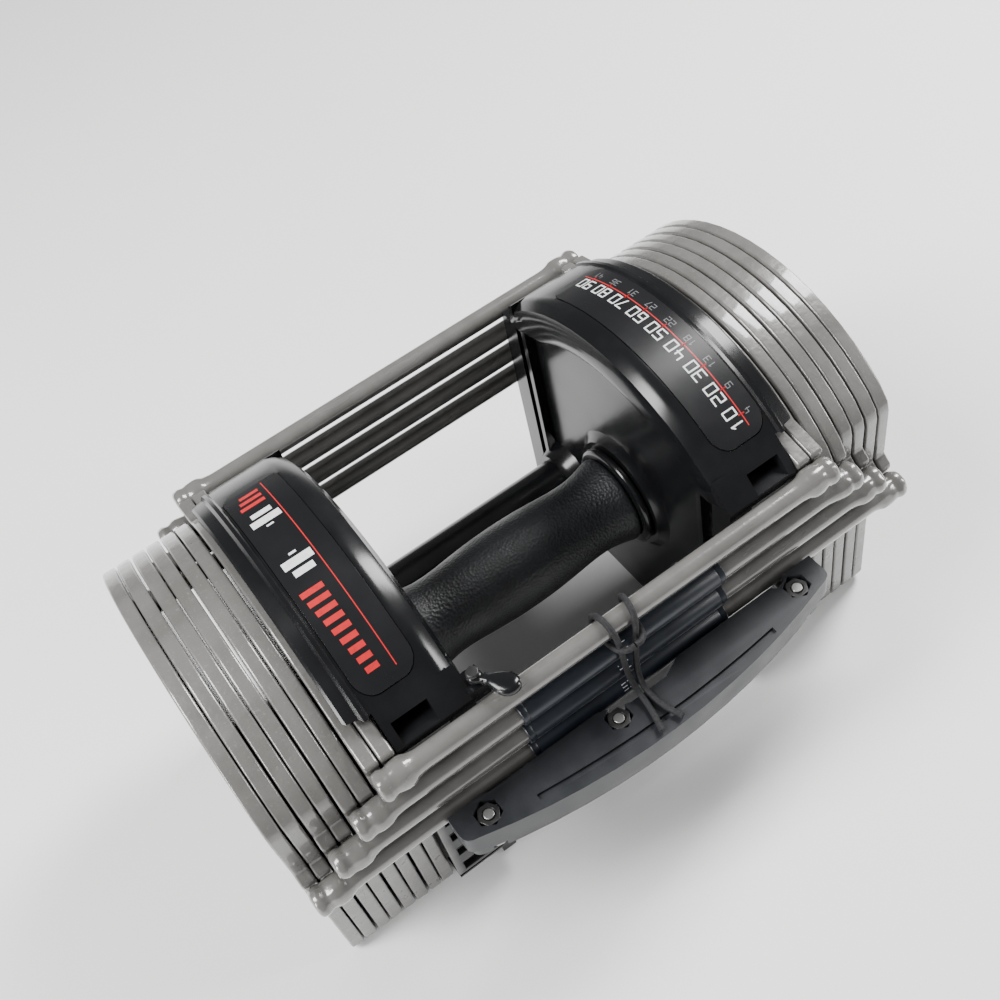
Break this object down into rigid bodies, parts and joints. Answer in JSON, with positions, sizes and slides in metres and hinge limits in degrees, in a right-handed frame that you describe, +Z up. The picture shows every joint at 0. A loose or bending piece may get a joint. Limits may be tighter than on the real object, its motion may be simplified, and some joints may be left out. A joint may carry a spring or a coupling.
{
  "type": "adjustable dumbbell",
  "caption": "Adjustable block dumbbell: a handle with a contoured grip in nested box weights with side rails, picked by a two-prong selector pin",
  "frame": {"origin": "on the floor, in the middle of the footprint with the selector pin in place", "axes": "+X along the grip, toward the end with the pin scale; -Y the way the selector pin is drawn out; +Z up"},
  "size_m": [0.305, 0.2206, 0.1814],
  "materials": {
    "enamel": "warm grey gloss enamel on steel",
    "sleeve": "satin blue-black moulded sleeve",
    "gloss": "gloss black moulding",
    "satin": "satin charcoal moulding",
    "rubber": "matt black rubber",
    "steel": "plain zinc plated steel",
    "chrome": "bright chrome",
    "cord": "black braided elastic cord"
  },
  "bodies": {
    "handle": {"handle_housing_right": "gloss", "handle_housing_left": "gloss", "slot_comb_right_front": "steel", "slot_comb_right_back": "steel", "slot_comb_left_front": "steel", "slot_comb_left_back": "steel", "label_plate_right": "gloss", "label_plate_left": "gloss", "grip_sleeve": "rubber", "grip_bar": "steel", "grip_collar_right": "gloss", "grip_collar_left": "gloss", "front_column": "gloss", "back_column": "gloss", "latch_lever_pin": "steel"},
    "selector_pin": {"pin_handle_top": "satin", "pin_handle_bottom": "satin", "pin_prong_right": "steel", "pin_prong_left": "steel", "pin_bolt_1": "steel", "pin_bolt_2": "steel", "pin_bolt_3": "steel", "pin_nut_1": "steel", "pin_nut_2": "steel", "pin_nut_3": "steel"},
    "weight_20": {"weight_20_right_inner_plate": "enamel", "weight_20_right_outer_plate": "enamel", "weight_20_left_inner_plate": "enamel", "weight_20_left_outer_plate": "enamel", "weight_20_front_rail": "enamel", "weight_20_back_rail": "enamel", "elastic_cord_left": "cord", "elastic_tip_left": "rubber", "elastic_cord_right": "cord", "elastic_tip_right": "rubber"},
    "weight_30": {"weight_30_right_inner_plate": "enamel", "weight_30_right_outer_plate": "enamel", "weight_30_left_inner_plate": "enamel", "weight_30_left_outer_plate": "enamel", "weight_30_front_rail": "enamel", "weight_30_back_rail": "enamel", "weight_30_number_sleeve": "sleeve"},
    "weight_40": {"weight_40_right_inner_plate": "enamel", "weight_40_right_outer_plate": "enamel", "weight_40_left_inner_plate": "enamel", "weight_40_left_outer_plate": "enamel", "weight_40_front_rail": "enamel", "weight_40_back_rail": "enamel", "weight_40_number_sleeve": "sleeve"},
    "weight_50": {"weight_50_right_inner_plate": "enamel", "weight_50_right_outer_plate": "enamel", "weight_50_left_inner_plate": "enamel", "weight_50_left_outer_plate": "enamel", "weight_50_front_rail": "enamel", "weight_50_back_rail": "enamel", "weight_50_number_sleeve": "sleeve"},
    "latch_lever": {"latch_lever": "rubber"},
    "front_adder_rod": {"front_adder_rod": "chrome"},
    "back_adder_rod": {"back_adder_rod": "chrome"}
  },
  "joints": [
    {"name": "selector_pin_slide", "type": "slide", "parent": "handle", "child": "selector_pin", "axis": [0, -1, 0], "range_m": [0, 0.19]},
    {"name": "weight_20_play", "type": "slide", "parent": "handle", "child": "weight_20", "axis": [0, 0, 1], "range_m": [0, 0.001]},
    {"name": "weight_30_play", "type": "slide", "parent": "handle", "child": "weight_30", "axis": [0, 0, 1], "range_m": [0, 0.0015]},
    {"name": "weight_40_play", "type": "slide", "parent": "handle", "child": "weight_40", "axis": [0, 0, 1], "range_m": [0, 0.0015]},
    {"name": "weight_50_play", "type": "slide", "parent": "handle", "child": "weight_50", "axis": [0, 0, 1], "range_m": [0, 0.0015]},
    {"name": "latch_lever_turn", "type": "hinge", "parent": "handle", "child": "latch_lever", "pos_m": [-0.0582, -0.06275, 0.15], "axis": [0, 0, 1], "range_deg": [0, 90]},
    {"name": "front_adder_rod_slide", "type": "slide", "parent": "handle", "child": "front_adder_rod", "axis": [1, 0, 0], "range_m": [0, 0.029]},
    {"name": "back_adder_rod_slide", "type": "slide", "parent": "handle", "child": "back_adder_rod", "axis": [1, 0, 0], "range_m": [0, 0.029]}
  ]
}
